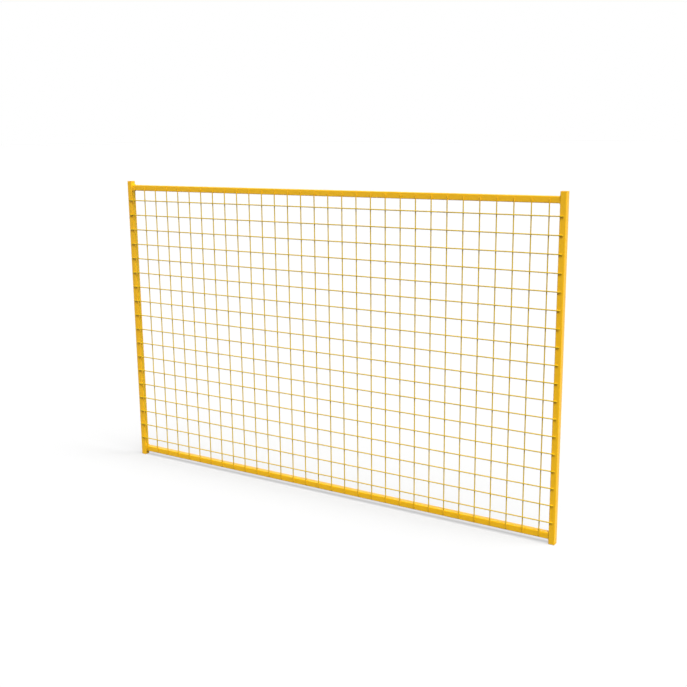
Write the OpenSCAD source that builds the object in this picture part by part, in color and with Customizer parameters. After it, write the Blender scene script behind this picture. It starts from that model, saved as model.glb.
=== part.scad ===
// Framed wire mesh panel: two square-tube uprights, two square-tube rails between them and a flat
// mesh of straight round wires, crossing in two layers and welded to the front of the frame.
//
// The horizontal wires are the front layer and lie on the uprights. The vertical wires are the rear
// layer and lie on the rails, so the rails sit one wire diameter further back than the uprights.
//
// Origin: on the floor, below the middle of the panel. +X runs to the right as seen from the mesh
// side, +Y away from the mesh side, +Z up. Every length is in millimetres.

/* [Panel] */
// Overall width, over the outer sides of the two uprights
panel_w = 1600; // [300:10:1700]
// Overall height, over the end plugs of the uprights
panel_h = 996; // [300:2:1100]
// How far the uprights run on past the rails at each end, end plug included
stub_len = 13.5; // [6:0.5:60]

/* [Frame tube] */
// Side of the square tube that uprights and rails are cut from
tube_side = 19.05; // [15:0.05:40]
// Wall thickness of the tube
tube_wall = 1.5; // [1:0.1:2.5]
// Inside corner radius of the tube
tube_inner_r = 0.6; // [0.3:0.1:1.5]

/* [Wire mesh] */
// Wire diameter
wire_d = 3.43; // [2:0.01:5]
// Distance between the centres of neighbouring wires, both ways
mesh_pitch = 50.8; // [50:0.4:100]
// Length of each wire end that lies on the face of its tube
wire_lap = 12; // [6:0.5:14]
// Chamfer round each cut wire end
wire_chamfer = 0.3; // [0.1:0.1:0.8]
// Distance from the left upright to the centre of the first vertical wire
first_wire_gap = 8.6; // [5:0.1:30]
// Least distance from a tube to the centre of the last wire beside it
least_wire_gap = 10; // [6:0.5:30]

/* [End plugs] */
// Thickness of the plug's head, which covers the tube end
plug_head_t = 1.5; // [1:0.1:4]
// How far the head stays inside the tube's outline, all round
plug_head_inset = 0.25; // [0.1:0.05:0.8]
// Chamfer round the outer face of the head
plug_chamfer = 0.6; // [0.2:0.1:0.8]
// Length of the stem inside the tube
plug_stem_len = 12; // [8:0.5:25]
// Wall thickness of the hollow stem
plug_stem_wall = 1.4; // [1:0.1:2]
// Width of the space that the fins bridge between stem and tube
plug_fin_reach = 1.2; // [0.8:0.1:2]
// Thickness of one gripping fin
plug_fin_t = 0.9; // [0.6:0.1:1.5]
// Number of gripping fins up the stem
plug_fin_count = 3; // [2:1:4]
// Gap between the fins and the inside of the tube
plug_clearance = 0.05; // [0:0.05:0.3]

/* [Hidden] */
round_fn = 48;
paint_yellow = "#e1ad29";
plug_yellow = "#d9a523";

// Frame: clear space between the tubes, and the planes that the layers share
tube_bore = tube_side - 2 * tube_wall;
tube_outer_r = tube_inner_r + tube_wall;
clear_w = panel_w - 2 * tube_side;
clear_h = panel_h - 2 * stub_len - 2 * tube_side;
upright_len = panel_h - 2 * plug_head_t;
upright_x = (panel_w - tube_side) / 2;
upright_front_y = -tube_side / 2;
rail_y = wire_d;
rail_bottom_z = stub_len;
rail_top_z = panel_h - stub_len - tube_side;

// Mesh: as many wires as fit at the pitch, the vertical ones counted from the left upright and the
// horizontal ones centred between the rails
vertical_count = 1 + floor((clear_w - first_wire_gap - least_wire_gap) / mesh_pitch);
horizontal_count = 1 + floor((clear_h - 2 * least_wire_gap) / mesh_pitch);
first_vertical_x = -clear_w / 2 + first_wire_gap;
first_horizontal_z = (panel_h - (horizontal_count - 1) * mesh_pitch) / 2;
horizontal_y = upright_front_y - wire_d / 2;
vertical_y = upright_front_y + wire_d / 2;
vertical_len = clear_h + 2 * wire_lap;
horizontal_len = clear_w + 2 * wire_lap;

// End plug: its head follows the tube's outline, its stem and fins the tube's bore
plug_head_side = tube_side - 2 * plug_head_inset;
plug_head_r = tube_outer_r - plug_head_inset;
plug_fin_side = tube_bore - 2 * plug_clearance;
plug_stem_side = plug_fin_side - 2 * plug_fin_reach;
plug_fin_pitch = plug_stem_len / (plug_fin_count + 1);

function two_digits(n) = n < 10 ? str("0", n) : str(n);
vertical_names = [for (i = [1 : vertical_count]) str("vertical_wire_", two_digits(i))];
horizontal_names = [for (i = [1 : horizontal_count]) str("horizontal_wire_", two_digits(i))];

// Square with round corners, centred on the origin
module rounded_square(side, r) {
    square([side - 2 * r, side], center = true);
    square([side, side - 2 * r], center = true);
    for (x = [-1, 1], y = [-1, 1]) {
        translate([x * (side / 2 - r), y * (side / 2 - r)]) circle(r = r, $fn = round_fn);
    }
}

// Length of the square tube, standing on the origin
module tube(len) {
    linear_extrude(len) difference() {
        rounded_square(tube_side, tube_outer_r);
        rounded_square(tube_bore, tube_inner_r);
    }
}

// Straight wire with chamfered cut ends, standing on the origin
module wire(len) {
    r = wire_d / 2;
    rotate_extrude($fn = round_fn) polygon([
        [0, 0],
        [r - wire_chamfer, 0],
        [r, wire_chamfer],
        [r, len - wire_chamfer],
        [r - wire_chamfer, len],
        [0, len]
    ]);
}

// Bar of the given length along X, with sides that slope in by the chamfer towards its underside
module chamfered_bar(len, side, height, chamfer) {
    rotate([90, 0, 90]) linear_extrude(len, center = true) polygon([
        [-side / 2 + chamfer, 0],
        [side / 2 - chamfer, 0],
        [side / 2, chamfer],
        [side / 2, height],
        [-side / 2, height],
        [-side / 2, chamfer]
    ]);
}

// Square plate with round corners, chamfered round its underside
module chamfered_plate(side, r, height, chamfer) {
    chamfered_bar(side - 2 * r, side, height, chamfer);
    rotate(90) chamfered_bar(side - 2 * r, side, height, chamfer);
    for (x = [-1, 1], y = [-1, 1]) translate([x * (side / 2 - r), y * (side / 2 - r), 0]) {
        cylinder(h = chamfer, r1 = r - chamfer, r2 = r, $fn = round_fn);
        translate([0, 0, chamfer]) cylinder(h = height - chamfer, r = r, $fn = round_fn);
    }
}

// Push-in end plug with its head down: the head's outer face is at z = 0 and the stem points up
module end_plug() {
    chamfered_plate(plug_head_side, plug_head_r, plug_head_t, plug_chamfer);
    translate([0, 0, plug_head_t]) difference() {
        union() {
            linear_extrude(plug_stem_len) square(plug_stem_side, center = true);
            for (i = [1 : plug_fin_count]) {
                translate([0, 0, i * plug_fin_pitch]) linear_extrude(plug_fin_t)
                    rounded_square(plug_fin_side, tube_inner_r);
            }
        }
        linear_extrude(plug_stem_len + plug_head_t)
            square(plug_stem_side - 2 * plug_stem_wall, center = true);
    }
}

// Upright tube on the given side: -1 is left and 1 is right
module upright(side) {
    color(paint_yellow) translate([side * upright_x, 0, plug_head_t]) tube(upright_len);
}

// Rail between the uprights, with its underside at the given height
module rail(bottom_z) {
    color(paint_yellow) translate([-clear_w / 2, rail_y, bottom_z + tube_side / 2])
        rotate([0, 90, 0]) tube(clear_w);
}

// Plug in the foot of the upright on the given side
module bottom_plug(side) {
    color(plug_yellow) translate([side * upright_x, 0, 0]) end_plug();
}

// Plug in the head of the upright on the given side, the same plug turned over
module top_plug(side) {
    color(plug_yellow) translate([side * upright_x, 0, panel_h]) rotate([180, 0, 0]) end_plug();
}

// Vertical wire number i from the left, lying on the front of both rails
module vertical_wire(i) {
    color(paint_yellow)
        translate([
            first_vertical_x + i * mesh_pitch,
            vertical_y,
            rail_bottom_z + tube_side - wire_lap
        ])
            wire(vertical_len);
}

// Horizontal wire number i from the bottom, lying on the front of both uprights
module horizontal_wire(i) {
    color(paint_yellow)
        translate([-clear_w / 2 - wire_lap, horizontal_y, first_horizontal_z + i * mesh_pitch])
            rotate([0, 90, 0]) wire(horizontal_len);
}

upright(-1);  // left_upright
upright(1);  // right_upright
rail(rail_top_z);  // top_rail
rail(rail_bottom_z);  // bottom_rail
top_plug(-1);  // top_left_plug
top_plug(1);  // top_right_plug
bottom_plug(-1);  // bottom_left_plug
bottom_plug(1);  // bottom_right_plug
for (i = [0 : vertical_count - 1]) {
    vertical_wire(i);
}
for (i = [0 : horizontal_count - 1]) {
    horizontal_wire(i);
}
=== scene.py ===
"""Framed wire mesh panel, standing on z = 0 with its mesh towards -Y.

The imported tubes, wires and plugs keep their shape and get their paint here. What is added is the weld
metal that joins them: a nugget at every crossing of two wires, a fused foot under every wire end, and
rippled beads round every joint of two tubes. Lengths are in metres, and in millimetres where a name ends
in _MM.
"""
import math
import random

import bpy
from mathutils import Matrix, Vector


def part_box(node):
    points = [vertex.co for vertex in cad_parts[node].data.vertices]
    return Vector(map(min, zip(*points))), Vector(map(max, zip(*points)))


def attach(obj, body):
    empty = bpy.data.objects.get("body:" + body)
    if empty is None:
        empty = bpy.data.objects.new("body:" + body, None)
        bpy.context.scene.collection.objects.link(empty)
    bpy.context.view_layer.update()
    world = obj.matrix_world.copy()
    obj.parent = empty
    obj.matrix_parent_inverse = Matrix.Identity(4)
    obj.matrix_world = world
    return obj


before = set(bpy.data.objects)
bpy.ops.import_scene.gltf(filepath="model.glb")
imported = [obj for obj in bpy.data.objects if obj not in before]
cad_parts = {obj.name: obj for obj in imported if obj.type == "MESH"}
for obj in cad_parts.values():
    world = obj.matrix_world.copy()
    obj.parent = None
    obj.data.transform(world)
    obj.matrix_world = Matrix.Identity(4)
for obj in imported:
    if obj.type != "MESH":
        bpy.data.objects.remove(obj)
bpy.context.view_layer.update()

MM = 0.001
BODY = "root"
# Seed of the small unevenness in the welds
WELD_SEED = 1600

# Camera, from lines fitted to the tubes and wires in the photograph. Angles are in degrees.
CAMERA_PLACE = (1.7327, -2.5360, 1.1502)
CAMERA_AZIMUTH = 32.975
CAMERA_ELEVATION = 11.977
CAMERA_ROLL = -0.591
CAMERA_LENS_MM = 51.82
CAMERA_SENSOR_MM = 36.0

# A face looks along an axis where that part of its normal is larger than this
SQUARE_ON = 0.9
# Points closer than this count as being in the same place
NEAR_MM = 0.1

# Weld nuggets between crossed wires
NUGGET_RADIUS_MM = 1.95
NUGGET_RIM_MM = 0.7
NUGGET_SHOULDER_MM = 0.7
NUGGET_HEIGHT_MM = 1.7
NUGGET_CORNER_GROWTH = 1.18

# Fused feet under the wires' ends
FOOT_LENGTH_MM = 9.4
FOOT_WIDTH_MM = 3.8
FOOT_CREST_WIDTH_MM = 2.2
FOOT_RISE_MM = 0.9
FOOT_SINK_MM = 0.3
FOOT_ROUNDING_MM = 0.3
FOOT_END_GAP_MM = 0.3

# Outer corner radius of the square tube, and the straight steps that its corners are drawn in
TUBE_CORNER_MM = 2.1
TUBE_CORNER_STEPS = 6
# Beads round the tube joints, laid as a row of ripples that overlap like fanned coins
BEAD_LEG_MM = 2.6
RIPPLE_RADIUS_MM = 2.15
RIPPLE_ROOT_MM = 1.3
RIPPLE_CROWN_MM = 0.55
# Each step of the crown is a share of the radius inwards and a share of the crown's height upwards
RIPPLE_CROWN_STEPS = ((0.2, 0.5), (0.3, 0.4), (0.3, 0.1))
RIPPLE_PITCH_MM = 0.9
RIPPLE_LEAN = 0.42
DRESSED_FRONT_SIZE = 0.45
# A ripple belongs to the back bead where its outward direction has more than this share of +Y
BACK_BEAD_TURN = 0.5

# Uneven work of the hand and of the welding press, as shares of a size
HAND_WANDER = 0.07
PRESS_WANDER = 0.08
# Edges of weld metal up to this angle, in degrees, look round
WELD_SMOOTHING = 50

# Paint and plastic: the resins' index of refraction, and how far roughness drifts either way
RESIN_IOR = 1.5
ROUGHNESS_DRIFT = 0.06
CLOUD_DETAIL = 3.0
PEEL_DETAIL = 2.0
# The film is at its thinnest where a rounded edge has turned its normal to this cosine of the face's own
THINNEST_FILM_TURN = 0.8
EDGE_SAMPLES = 4
# Stretch of the peel: none on tube and mouldings, and drawn out along the drawing direction on wire
EVEN_PEEL = (1, 1, 1)
UPRIGHT_PEEL = (1, 1, 0.08)
LEVEL_PEEL = (0.08, 1, 1)

# Studio. A direction points from the panel to its light, and a spread is the light's width in degrees.
FLOOR_SIZE = 200
FLOOR_COLOUR = "#5f5f5f"
FLOOR_ROUGHNESS = 0.9
FLOOR_GLOW = 0.53
KEY_DIRECTION = (0.306, -0.445, 1)
KEY_STRENGTH = 4.3
KEY_SPREAD = 24
SIDE_DIRECTION = (1.732, 0, 1)
SIDE_STRENGTH = 2.19
SIDE_SPREAD = 40
# A light on the floor alone, which draws the panel's shadow without bleaching its top faces
FLOOR_LIGHT_DIRECTION = (0.306, 0, 1)
FLOOR_LIGHT_STRENGTH = 7.76
FLOOR_LIGHT_SPREAD = 24
# A level light on the sides that the photograph doesn't show
BACK_DIRECTION = (-0.5, 0.87, 0.0)
BACK_STRENGTH = 1.6
BACK_SPREAD = 40
# Brightness of the world by height in degrees: faint near the horizon, a bright band above it, and dark
# below and overhead
SKY_LEVELS = ((-5, 0.0), (-3, 0.28), (7, 0.28), (9, 1.81), (24, 1.81), (26, 0.0))


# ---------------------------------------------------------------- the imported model

def names_like(start):
    """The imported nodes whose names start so, in order."""
    return sorted(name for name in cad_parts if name.startswith(start))


def middle(name):
    """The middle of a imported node's box."""
    low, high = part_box(name)
    return (low + high) / 2


VERTICAL_WIRES = names_like("vertical_wire_")
HORIZONTAL_WIRES = names_like("horizontal_wire_")
LEFT_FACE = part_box("left_upright")[1].x
RIGHT_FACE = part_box("right_upright")[0].x
UPRIGHT_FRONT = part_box("left_upright")[0].y
UPRIGHT_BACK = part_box("left_upright")[1].y
RAIL_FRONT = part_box("top_rail")[0].y
TOP_RAIL_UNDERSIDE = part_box("top_rail")[0].z
BOTTOM_RAIL_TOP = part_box("bottom_rail")[1].z
TUBE_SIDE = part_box("top_rail")[1].z - TOP_RAIL_UNDERSIDE


# ---------------------------------------------------------------- helpers

def deselect_all():
    """Nothing stays selected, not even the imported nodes."""
    bpy.ops.object.select_all(action="DESELECT")


def select_only(piece):
    """One piece is selected and active."""
    deselect_all()
    piece.select_set(True)
    bpy.context.view_layer.objects.active = piece


def open_mesh(piece):
    """Opens a piece in edit mode with nothing selected."""
    select_only(piece)
    bpy.ops.object.mode_set(mode="EDIT")
    bpy.ops.mesh.select_all(action="DESELECT")


def close_mesh():
    """Leaves edit mode, which writes the changes to the piece."""
    bpy.ops.object.mode_set(mode="OBJECT")


def select_faces(piece, wanted):
    """Selects, in a mesh that is open, the faces that a test of face normal and centre picks."""
    bpy.ops.object.mode_set(mode="OBJECT")
    for face in piece.data.polygons:
        face.select = wanted(face.normal, face.center)
    bpy.ops.object.mode_set(mode="EDIT")
    bpy.ops.mesh.select_mode(type="FACE")


def wander(share):
    """A factor near 1, for work that is never quite even."""
    return 1 + random.uniform(-share, share)


def uneven(share):
    """A scaling that differs a little along each axis."""
    return Matrix.Diagonal((wander(share), wander(share), wander(share), 1))


def join_copies(pattern, places, name):
    """One piece made of a copy of the pattern at each place, where a place is a matrix."""
    copies = []
    for place in places:
        copy = bpy.data.objects.new(name, pattern.data.copy())
        copy.data.transform(place)
        bpy.context.scene.collection.objects.link(copy)
        copies.append(copy)
    select_only(copies[0])
    for copy in copies:
        copy.select_set(True)
    bpy.ops.object.join()
    return bpy.context.view_layer.objects.active


def finish_weld(piece, material):
    """Smooths a weld, coats it and fixes it to the panel."""
    select_only(piece)
    bpy.ops.object.shade_smooth_by_angle(angle=math.radians(WELD_SMOOTHING))
    piece.data.materials.clear()
    piece.data.materials.append(material)
    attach(piece, BODY)


# ---------------------------------------------------------------- paint

def linear(hex_colour):
    """An sRGB hex colour as linear red, green, blue and alpha."""
    parts = [int(hex_colour[i:i + 2], 16) / 255 for i in (1, 3, 5)]
    return [p / 12.92 if p <= 0.04045 else ((p + 0.055) / 1.055) ** 2.4 for p in parts] + [1.0]


def add_node(tree, kind, settings=None, links=None):
    """Adds a node, sets its properties and sockets, and links its sockets to other nodes' outputs."""
    node = tree.nodes.new(kind)
    for key, value in (settings or {}).items():
        if isinstance(key, str) and hasattr(node, key):
            setattr(node, key, value)
        else:
            node.inputs[key].default_value = value
    for key, output in (links or {}).items():
        tree.links.new(output, node.inputs[key])
    return node


# Sockets of a Mix node that mixes colours
MIX_A, MIX_B, MIX_RESULT = 6, 7, 2


def coat(
    name, light, deep, thin, roughness, specular, peel_mm, peel_depth_mm, cloud_mm, stretch, edge_mm,
):
    """A baked coat of paint, or a moulded skin.

    Its tone drifts between light and deep over cloud_mm. Its surface has an orange peel of peel_mm, drawn
    out by stretch. Over edge_mm next to sharp edges, where the film thins as it flows, it turns to the
    thin tone.
    """
    material = bpy.data.materials.new(name)
    material.use_nodes = True
    tree = material.node_tree
    tree.nodes.clear()
    place = add_node(tree, "ShaderNodeTexCoord").outputs["Object"]
    drawn = add_node(tree, "ShaderNodeMapping", {"Scale": stretch}, {"Vector": place}).outputs["Vector"]

    cloud = add_node(
        tree, "ShaderNodeTexNoise",
        {"Scale": 1 / (cloud_mm * MM), "Detail": CLOUD_DETAIL},
        {"Vector": drawn},
    )
    tone = add_node(
        tree, "ShaderNodeMix",
        {"data_type": "RGBA", MIX_A: linear(deep), MIX_B: linear(light)},
        {"Factor": cloud.outputs["Fac"]},
    )

    rounded = add_node(tree, "ShaderNodeBevel", {"samples": EDGE_SAMPLES, "Radius": edge_mm * MM})
    face = add_node(tree, "ShaderNodeNewGeometry")
    bend = add_node(
        tree, "ShaderNodeVectorMath",
        {"operation": "DOT_PRODUCT"},
        {0: rounded.outputs["Normal"], 1: face.outputs["Normal"]},
    )
    edge = add_node(
        tree, "ShaderNodeMapRange",
        {"From Min": 1.0, "From Max": THINNEST_FILM_TURN, "To Min": 0.0, "To Max": 1.0},
        {"Value": bend.outputs["Value"]},
    )
    film = add_node(
        tree, "ShaderNodeMix",
        {"data_type": "RGBA", MIX_B: linear(thin)},
        {"Factor": edge.outputs["Result"], MIX_A: tone.outputs[MIX_RESULT]},
    )

    peel = add_node(
        tree, "ShaderNodeTexNoise",
        {"Scale": 1 / (peel_mm * MM), "Detail": PEEL_DETAIL},
        {"Vector": drawn},
    )
    bump = add_node(
        tree, "ShaderNodeBump",
        {"Distance": peel_depth_mm * MM},
        {"Height": peel.outputs["Fac"]},
    )
    sheen = add_node(
        tree, "ShaderNodeMapRange",
        {"To Min": roughness - ROUGHNESS_DRIFT, "To Max": roughness + ROUGHNESS_DRIFT},
        {"Value": peel.outputs["Fac"]},
    )
    shader = add_node(
        tree, "ShaderNodeBsdfPrincipled",
        {"IOR": RESIN_IOR, "Specular IOR Level": specular},
        {
            "Base Color": film.outputs[MIX_RESULT],
            "Roughness": sheen.outputs["Result"],
            "Normal": bump.outputs["Normal"],
        },
    )
    add_node(tree, "ShaderNodeOutputMaterial", {}, {"Surface": shader.outputs["BSDF"]})
    return material


def lighten_laps(material, axis, low, high):
    """Turns a wire's coat towards the tube's tone where the wire laps its tubes.

    That is outside low to high along the axis.
    """
    tree = material.node_tree
    shader = tree.nodes["Principled BSDF"]
    tone = shader.inputs["Base Color"].links[0].from_socket
    place = tree.nodes["Texture Coordinate"].outputs["Object"]
    along = add_node(tree, "ShaderNodeSeparateXYZ", {}, {"Vector": place}).outputs[axis]
    offset = add_node(tree, "ShaderNodeMath", {"operation": "SUBTRACT", 1: (low + high) / 2}, {0: along})
    distance = add_node(tree, "ShaderNodeMath", {"operation": "ABSOLUTE"}, {0: offset.outputs["Value"]})
    half_span = (high - low) / 2
    share = add_node(
        tree, "ShaderNodeMapRange",
        {"From Min": half_span - LAP_FADE_MM * MM, "From Max": half_span},
        {"Value": distance.outputs["Value"]},
    )
    lapped = add_node(
        tree, "ShaderNodeMix",
        {"data_type": "RGBA", MIX_B: linear(LAP_TONE)},
        {"Factor": share.outputs["Result"], MIX_A: tone},
    )
    tree.links.new(lapped.outputs[MIX_RESULT], shader.inputs["Base Color"])


# Polyester powder coat, sprayed dry and baked on steel tube: an even signal yellow with a soft sheen
FRAME_COAT = coat(
    "powder_coat_on_tube", light="#e5af0c", deep="#e0aa08", thin="#d8a206",
    roughness=0.38, specular=0.3,
    peel_mm=2.5, peel_depth_mm=0.07, cloud_mm=60, stretch=EVEN_PEEL, edge_mm=1.2,
)
# The same powder covers the drawn wire, with faint draw lines; its deeper tone is painted shade on thin wire
UPRIGHT_WIRE_COAT = coat(
    "powder_coat_on_upright_wire", light="#c1a20a", deep="#bb9c06", thin="#b79604",
    roughness=0.42, specular=0.3,
    peel_mm=1.2, peel_depth_mm=0.05, cloud_mm=25, stretch=UPRIGHT_PEEL, edge_mm=0.3,
)
LEVEL_WIRE_COAT = coat(
    "powder_coat_on_level_wire", light="#c7a60a", deep="#c1a006", thin="#bd9a04",
    roughness=0.42, specular=0.3,
    peel_mm=1.2, peel_depth_mm=0.05, cloud_mm=25, stretch=LEVEL_PEEL, edge_mm=0.3,
)
# Where an upright wire's end laps its rail, its painted shade is lifted towards the tube's tone.
# The lap tone is still painted darker than the tube's, as shade that dims the lit top of the wire's end.
LAP_TONE = "#d0a10a"
LAP_FADE_MM = 4
lighten_laps(UPRIGHT_WIRE_COAT, "Z", BOTTOM_RAIL_TOP, TOP_RAIL_UNDERSIDE)
# Powder over a bead pools between its ripples: a little deeper and rougher than on the tube
BEAD_COAT = coat(
    "powder_coat_on_bead", light="#e2ac0b", deep="#cf9c06", thin="#d8a408",
    roughness=0.45, specular=0.3,
    peel_mm=0.9, peel_depth_mm=0.05, cloud_mm=4, stretch=EVEN_PEEL, edge_mm=0.3,
)
# Over the small feet under the wires' ends the powder is painted deeper still.
# This is painted shade: it dims the light that the feet catch and darkens the marks at the wires' ends.
FOOT_COAT = coat(
    "powder_coat_on_foot", light="#cc9b0a", deep="#bf9106", thin="#c79908",
    roughness=0.45, specular=0.3,
    peel_mm=0.9, peel_depth_mm=0.05, cloud_mm=4, stretch=EVEN_PEEL, edge_mm=0.3,
)
# Polyethylene, injection moulded in a lightly sparked mould: duller than the paint, with a fine grain that
# is drawn about twice as coarse as it is, so that it shows
PLUG_PLASTIC = coat(
    "moulded_plug_plastic", light="#d8a211", deep="#d59e0e", thin="#dba51a",
    roughness=0.52, specular=0.4,
    peel_mm=0.6, peel_depth_mm=0.02, cloud_mm=20, stretch=EVEN_PEEL, edge_mm=0.4,
)


def paint_packed_nodes():
    """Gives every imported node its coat."""
    for name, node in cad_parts.items():
        if name in VERTICAL_WIRES:
            material = UPRIGHT_WIRE_COAT
        elif name in HORIZONTAL_WIRES:
            material = LEVEL_WIRE_COAT
        elif "plug" in name:
            material = PLUG_PLASTIC
        else:
            material = FRAME_COAT
        node.material_slots[0].material = material


# ---------------------------------------------------------------- nuggets at the crossings

def make_nugget():
    """The metal that is squeezed out round the contact of two crossed wires, with a corner in each gap."""
    deselect_all()
    bpy.ops.mesh.primitive_cylinder_add(
        vertices=8, radius=NUGGET_RADIUS_MM * MM, depth=NUGGET_RIM_MM * MM,
        rotation=(math.radians(90), 0, 0),
    )
    nugget = bpy.context.object
    nugget.name = "nugget"
    bpy.ops.object.transform_apply(location=True, rotation=True, scale=True)

    # Both ends shrink to a crest and move out, so that the rim becomes the widest part
    open_mesh(nugget)
    select_faces(nugget, lambda normal, centre: abs(normal.y) > SQUARE_ON)
    bpy.ops.mesh.inset(thickness=NUGGET_SHOULDER_MM * MM)
    height_growth = NUGGET_HEIGHT_MM / NUGGET_RIM_MM
    bpy.ops.transform.resize(value=(1, height_growth, 1), center_override=(0, 0, 0))

    # The rim grows where the two wires leave most room, which is along the diagonals
    bpy.ops.mesh.select_all(action="DESELECT")
    bpy.ops.object.mode_set(mode="OBJECT")
    for point in nugget.data.vertices:
        on_diagonal = abs(abs(point.co.x) - abs(point.co.z)) < NEAR_MM * MM
        on_rim = abs(abs(point.co.y) - NUGGET_RIM_MM * MM / 2) < NEAR_MM * MM
        point.select = on_diagonal and on_rim
    bpy.ops.object.mode_set(mode="EDIT")
    bpy.ops.mesh.select_mode(type="VERT")
    growth = NUGGET_CORNER_GROWTH
    bpy.ops.transform.resize(value=(growth, 1, growth), center_override=(0, 0, 0))
    close_mesh()
    return nugget


def weld_crossings():
    """A nugget between the two layers of wire at every crossing, one piece for each upright wire."""
    nugget = make_nugget()
    for number, upright_wire in enumerate(VERTICAL_WIRES, 1):
        x = middle(upright_wire).x
        places = []
        for level_wire in HORIZONTAL_WIRES:
            contact = Vector((x, UPRIGHT_FRONT, middle(level_wire).z))
            places.append(Matrix.Translation(contact) @ uneven(PRESS_WANDER))
        welds = join_copies(nugget, places, f"crossing_welds_{number:02d}")
        # The nuggets take the upright wire's coat, with its painted shade
        finish_weld(welds, UPRIGHT_WIRE_COAT)
    bpy.data.objects.remove(nugget)


# ---------------------------------------------------------------- feet under the wires' ends

def make_foot():
    """The fused foot between a wire's end and its tube: a long oval in X that rises towards -Y from y = 0."""
    deselect_all()
    height = (FOOT_RISE_MM + FOOT_SINK_MM) * MM
    bpy.ops.mesh.primitive_cylinder_add(
        vertices=12, radius=0.5, depth=1, rotation=(math.radians(90), 0, 0),
        location=(0, height / 2 - FOOT_RISE_MM * MM, 0),
        scale=(FOOT_LENGTH_MM * MM, FOOT_WIDTH_MM * MM, height),
    )
    foot = bpy.context.object
    foot.name = "foot"
    bpy.ops.object.transform_apply(location=True, rotation=True, scale=True)

    # The crest is narrower and shorter than the root, which gives the sloping sides of a fillet
    open_mesh(foot)
    select_faces(foot, lambda normal, centre: normal.y < -SQUARE_ON)
    narrowing = FOOT_CREST_WIDTH_MM / FOOT_WIDTH_MM
    shortening = (FOOT_LENGTH_MM - FOOT_WIDTH_MM + FOOT_CREST_WIDTH_MM) / FOOT_LENGTH_MM
    bpy.ops.transform.resize(value=(shortening, 1, narrowing), center_override=(0, 0, 0))
    bpy.ops.mesh.bevel(offset=FOOT_ROUNDING_MM * MM, segments=1)
    close_mesh()
    return foot


def weld_wire_ends():
    """A foot under both ends of every wire, one piece for each tube."""
    foot = make_foot()
    # A foot lies between the tube's rounded corner and a point just short of the wire's end
    reach = (TUBE_CORNER_MM - FOOT_END_GAP_MM) / 2 * MM
    upright = Matrix.Rotation(math.radians(90), 4, "Y")
    places = {"left_upright": [], "right_upright": [], "top_rail": [], "bottom_rail": []}
    for wire in HORIZONTAL_WIRES:
        low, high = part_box(wire)
        z = middle(wire).z
        left = Vector(((low.x + LEFT_FACE) / 2 - reach, UPRIGHT_FRONT, z))
        right = Vector(((high.x + RIGHT_FACE) / 2 + reach, UPRIGHT_FRONT, z))
        places["left_upright"].append(Matrix.Translation(left) @ uneven(PRESS_WANDER))
        places["right_upright"].append(Matrix.Translation(right) @ uneven(PRESS_WANDER))
    for wire in VERTICAL_WIRES:
        low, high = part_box(wire)
        x = middle(wire).x
        top = Vector((x, RAIL_FRONT, (high.z + TOP_RAIL_UNDERSIDE) / 2 + reach))
        bottom = Vector((x, RAIL_FRONT, (low.z + BOTTOM_RAIL_TOP) / 2 - reach))
        places["top_rail"].append(Matrix.Translation(top) @ upright @ uneven(PRESS_WANDER))
        places["bottom_rail"].append(Matrix.Translation(bottom) @ upright @ uneven(PRESS_WANDER))
    for tube, spots in places.items():
        welds = join_copies(foot, spots, f"wire_end_welds_{tube}")
        finish_weld(welds, FOOT_COAT)
    bpy.data.objects.remove(foot)


# ---------------------------------------------------------------- beads round the tube joints

def make_ripple():
    """One ripple of a bead: a disc with a low crown that faces Z, its rim at z = 0 and its root below."""
    deselect_all()
    bpy.ops.mesh.primitive_cylinder_add(
        vertices=12, radius=RIPPLE_RADIUS_MM * MM, depth=RIPPLE_ROOT_MM * MM,
        location=(0, 0, -RIPPLE_ROOT_MM * MM / 2),
    )
    ripple = bpy.context.object
    ripple.name = "ripple"
    bpy.ops.object.transform_apply(location=True, rotation=True, scale=True)
    open_mesh(ripple)
    select_faces(ripple, lambda normal, centre: normal.z > SQUARE_ON)
    for inwards, upwards in RIPPLE_CROWN_STEPS:
        bpy.ops.mesh.inset(
            thickness=inwards * RIPPLE_RADIUS_MM * MM, depth=upwards * RIPPLE_CROWN_MM * MM,
        )
    close_mesh()
    return ripple


def rounded_outline(half_y, half_z, corner, spacing):
    """Even points round a rectangle with round corners across X, each with the direction of travel.

    The travel starts on the +Y side and goes up, over the top, down the -Y side and back along the
    underside.
    """
    outline = []
    for quarter, (side_y, side_z) in enumerate(((1, 1), (-1, 1), (-1, -1), (1, -1))):
        centre = Vector((0, side_y * (half_y - corner), side_z * (half_z - corner)))
        for step in range(TUBE_CORNER_STEPS + 1):
            angle = math.radians(90 * (quarter + step / TUBE_CORNER_STEPS))
            outline.append(centre + corner * Vector((0, math.cos(angle), math.sin(angle))))
    runs = list(zip(outline, outline[1:] + outline[:1]))
    length = sum((end - start).length for start, end in runs)
    count = round(length / spacing)
    points = []
    travelled = 0.0
    for start, end in runs:
        run = (end - start).length
        while len(points) < count and len(points) * length / count < travelled + run:
            along = (len(points) * length / count - travelled) / run
            points.append((start.lerp(end, along), (end - start).normalized()))
        travelled += run
    return points


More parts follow.
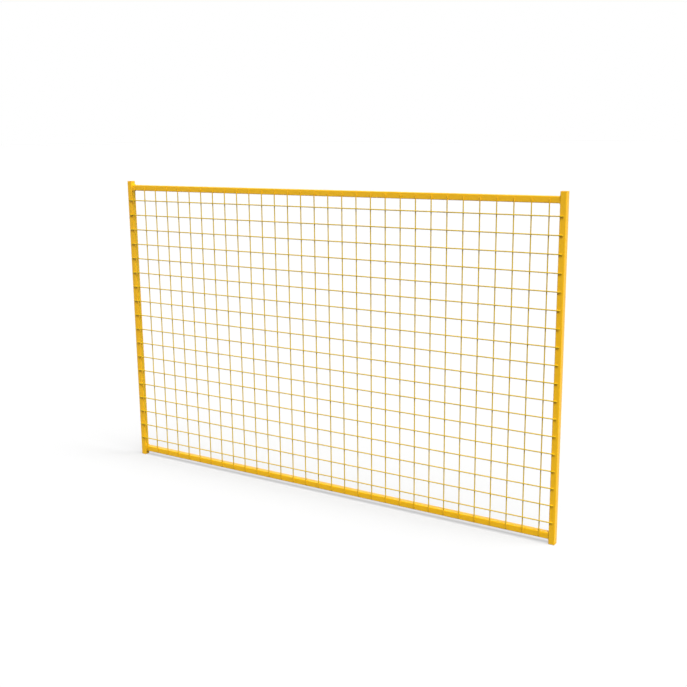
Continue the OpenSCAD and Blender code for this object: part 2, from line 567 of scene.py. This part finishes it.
def weld_joint(ripple, name, x, z):
    """The two beads round the end of a rail, at x, where it meets an upright.

    One runs over, in front of and under the rail and fills the corner towards the panel's middle. Its
    front was dressed down. The other runs up the back, where the rail stands proud of the upright, and
    closes the rail's open end, so it faces outwards.
    """
    outwards = Vector((math.copysign(1, x), 0, 0))
    centre = Vector((x, (RAIL_FRONT + UPRIGHT_BACK) / 2, z))
    outline = rounded_outline(
        half_y=(UPRIGHT_BACK - RAIL_FRONT) / 2, half_z=TUBE_SIDE / 2,
        corner=TUBE_CORNER_MM * MM, spacing=RIPPLE_PITCH_MM * MM,
    )
    places = []
    for point, direction in outline:
        away = direction.cross(Vector((1, 0, 0)))
        size = 1 - (1 - DRESSED_FRONT_SIZE) * max(0, -away.y)
        at_back = away.y > BACK_BEAD_TURN
        facing = away + outwards if at_back else away - outwards
        middle_of_bead = centre + point + facing * size * BEAD_LEG_MM * MM / 2
        leaning = facing.normalized() + direction * RIPPLE_LEAN
        turn = leaning.to_track_quat("Z", "Y").to_matrix().to_4x4()
        place = Matrix.Translation(middle_of_bead) @ turn @ Matrix.Scale(size, 4)
        places.append(place @ uneven(HAND_WANDER))
    finish_weld(join_copies(ripple, places, name), BEAD_COAT)


def weld_tube_joints():
    """Beads at the four joints, one piece for each."""
    ripple = make_ripple()
    for side, x in (("left", LEFT_FACE), ("right", RIGHT_FACE)):
        for rail in ("top", "bottom"):
            weld_joint(ripple, f"{rail}_{side}_joint_weld", x, middle(f"{rail}_rail").z)
    bpy.data.objects.remove(ripple)


# ---------------------------------------------------------------- studio

def add_floor():
    """A white floor that glows a little, so that its shadows stay pale.

    It sends no light up to the panel and throws no shadow on it, so the lamps and the world alone light
    the panel.
    """
    deselect_all()
    bpy.ops.mesh.primitive_plane_add(size=FLOOR_SIZE)
    floor = bpy.context.object
    floor.name = "studio_floor"
    material = bpy.data.materials.new("white_studio_floor")
    material.use_nodes = True
    shader = material.node_tree.nodes["Principled BSDF"]
    shader.inputs["Base Color"].default_value = linear(FLOOR_COLOUR)
    shader.inputs["Roughness"].default_value = FLOOR_ROUGHNESS
    shader.inputs["Specular IOR Level"].default_value = 0.0
    shader.inputs["Emission Color"].default_value = (1, 1, 1, 1)
    shader.inputs["Emission Strength"].default_value = FLOOR_GLOW
    floor.data.materials.append(material)
    floor.visible_diffuse = False
    floor.visible_shadow = False
    return floor


def add_sun(name, towards, strength, spread, in_gloss=True, only_on=None):
    """A broad, soft light from one direction, on the whole scene or on one object alone."""
    data = bpy.data.lights.new(name, "SUN")
    data.energy = strength
    data.angle = math.radians(spread)
    lamp = bpy.data.objects.new(name, data)
    lamp.rotation_euler = (-Vector(towards)).to_track_quat("-Z", "Y").to_euler()
    lamp.visible_glossy = in_gloss
    bpy.context.scene.collection.objects.link(lamp)
    if only_on:
        lit = bpy.data.collections.new(f"lit_by_{name}")
        lit.objects.link(only_on)
        lamp.light_linking.receiver_collection = lit


def add_world():
    """A studio that lights the panel by the levels in SKY_LEVELS, with walls that look plain white."""
    world = bpy.data.worlds.new("white_studio")
    bpy.context.scene.world = world
    world.use_nodes = True
    tree = world.node_tree
    direction = add_node(tree, "ShaderNodeTexCoord").outputs["Generated"]
    height = add_node(tree, "ShaderNodeSeparateXYZ", {}, {"Vector": direction}).outputs["Z"]
    share = add_node(tree, "ShaderNodeMapRange", {"From Min": -1.0, "From Max": 1.0}, {"Value": height})
    ramp = add_node(tree, "ShaderNodeValToRGB", {}, {"Fac": share.outputs["Result"]})
    stops = ramp.color_ramp.elements
    # The new stops start halfway, and all of them then go to their own places
    while len(stops) < len(SKY_LEVELS):
        stops.new(0.5)
    for stop, (degrees, level) in zip(stops, SKY_LEVELS):
        stop.position = (1 + math.sin(math.radians(degrees))) / 2
        stop.color = (level, level, level, 1)
    seen = add_node(tree, "ShaderNodeLightPath").outputs["Is Camera Ray"]
    wall = add_node(
        tree, "ShaderNodeMix",
        {"data_type": "RGBA", MIX_B: (1, 1, 1, 1)},
        {"Factor": seen, MIX_A: ramp.outputs["Color"]},
    )
    tree.links.new(wall.outputs[MIX_RESULT], tree.nodes["Background"].inputs["Color"])


def add_camera():
    """The camera that sees the panel as the photograph does."""
    turn = math.radians(CAMERA_AZIMUTH)
    tilt = math.radians(CAMERA_ELEVATION)
    back = Vector((math.sin(turn) * math.cos(tilt), -math.cos(turn) * math.cos(tilt), math.sin(tilt)))
    right = Vector((math.cos(turn), math.sin(turn), 0))
    roll = Matrix.Rotation(math.radians(CAMERA_ROLL), 3, back)
    axes = Matrix((roll @ right, roll @ back.cross(right), back)).transposed()
    data = bpy.data.cameras.new("camera")
    data.lens = CAMERA_LENS_MM
    data.sensor_width = CAMERA_SENSOR_MM
    camera = bpy.data.objects.new("camera", data)
    camera.matrix_world = Matrix.Translation(CAMERA_PLACE) @ axes.to_4x4()
    bpy.context.scene.collection.objects.link(camera)
    bpy.context.scene.camera = camera


# ---------------------------------------------------------------- the whole scene

random.seed(WELD_SEED)
add_camera()
paint_packed_nodes()
weld_crossings()
weld_wire_ends()
weld_tube_joints()
floor = add_floor()
add_sun("key_light", KEY_DIRECTION, KEY_STRENGTH, KEY_SPREAD)
add_sun("side_light", SIDE_DIRECTION, SIDE_STRENGTH, SIDE_SPREAD)
add_sun("floor_light", FLOOR_LIGHT_DIRECTION, FLOOR_LIGHT_STRENGTH, FLOOR_LIGHT_SPREAD, only_on=floor)
add_sun("back_light", BACK_DIRECTION, BACK_STRENGTH, BACK_SPREAD, in_gloss=False)
add_world()
bpy.context.scene.view_settings.view_transform = "Standard"
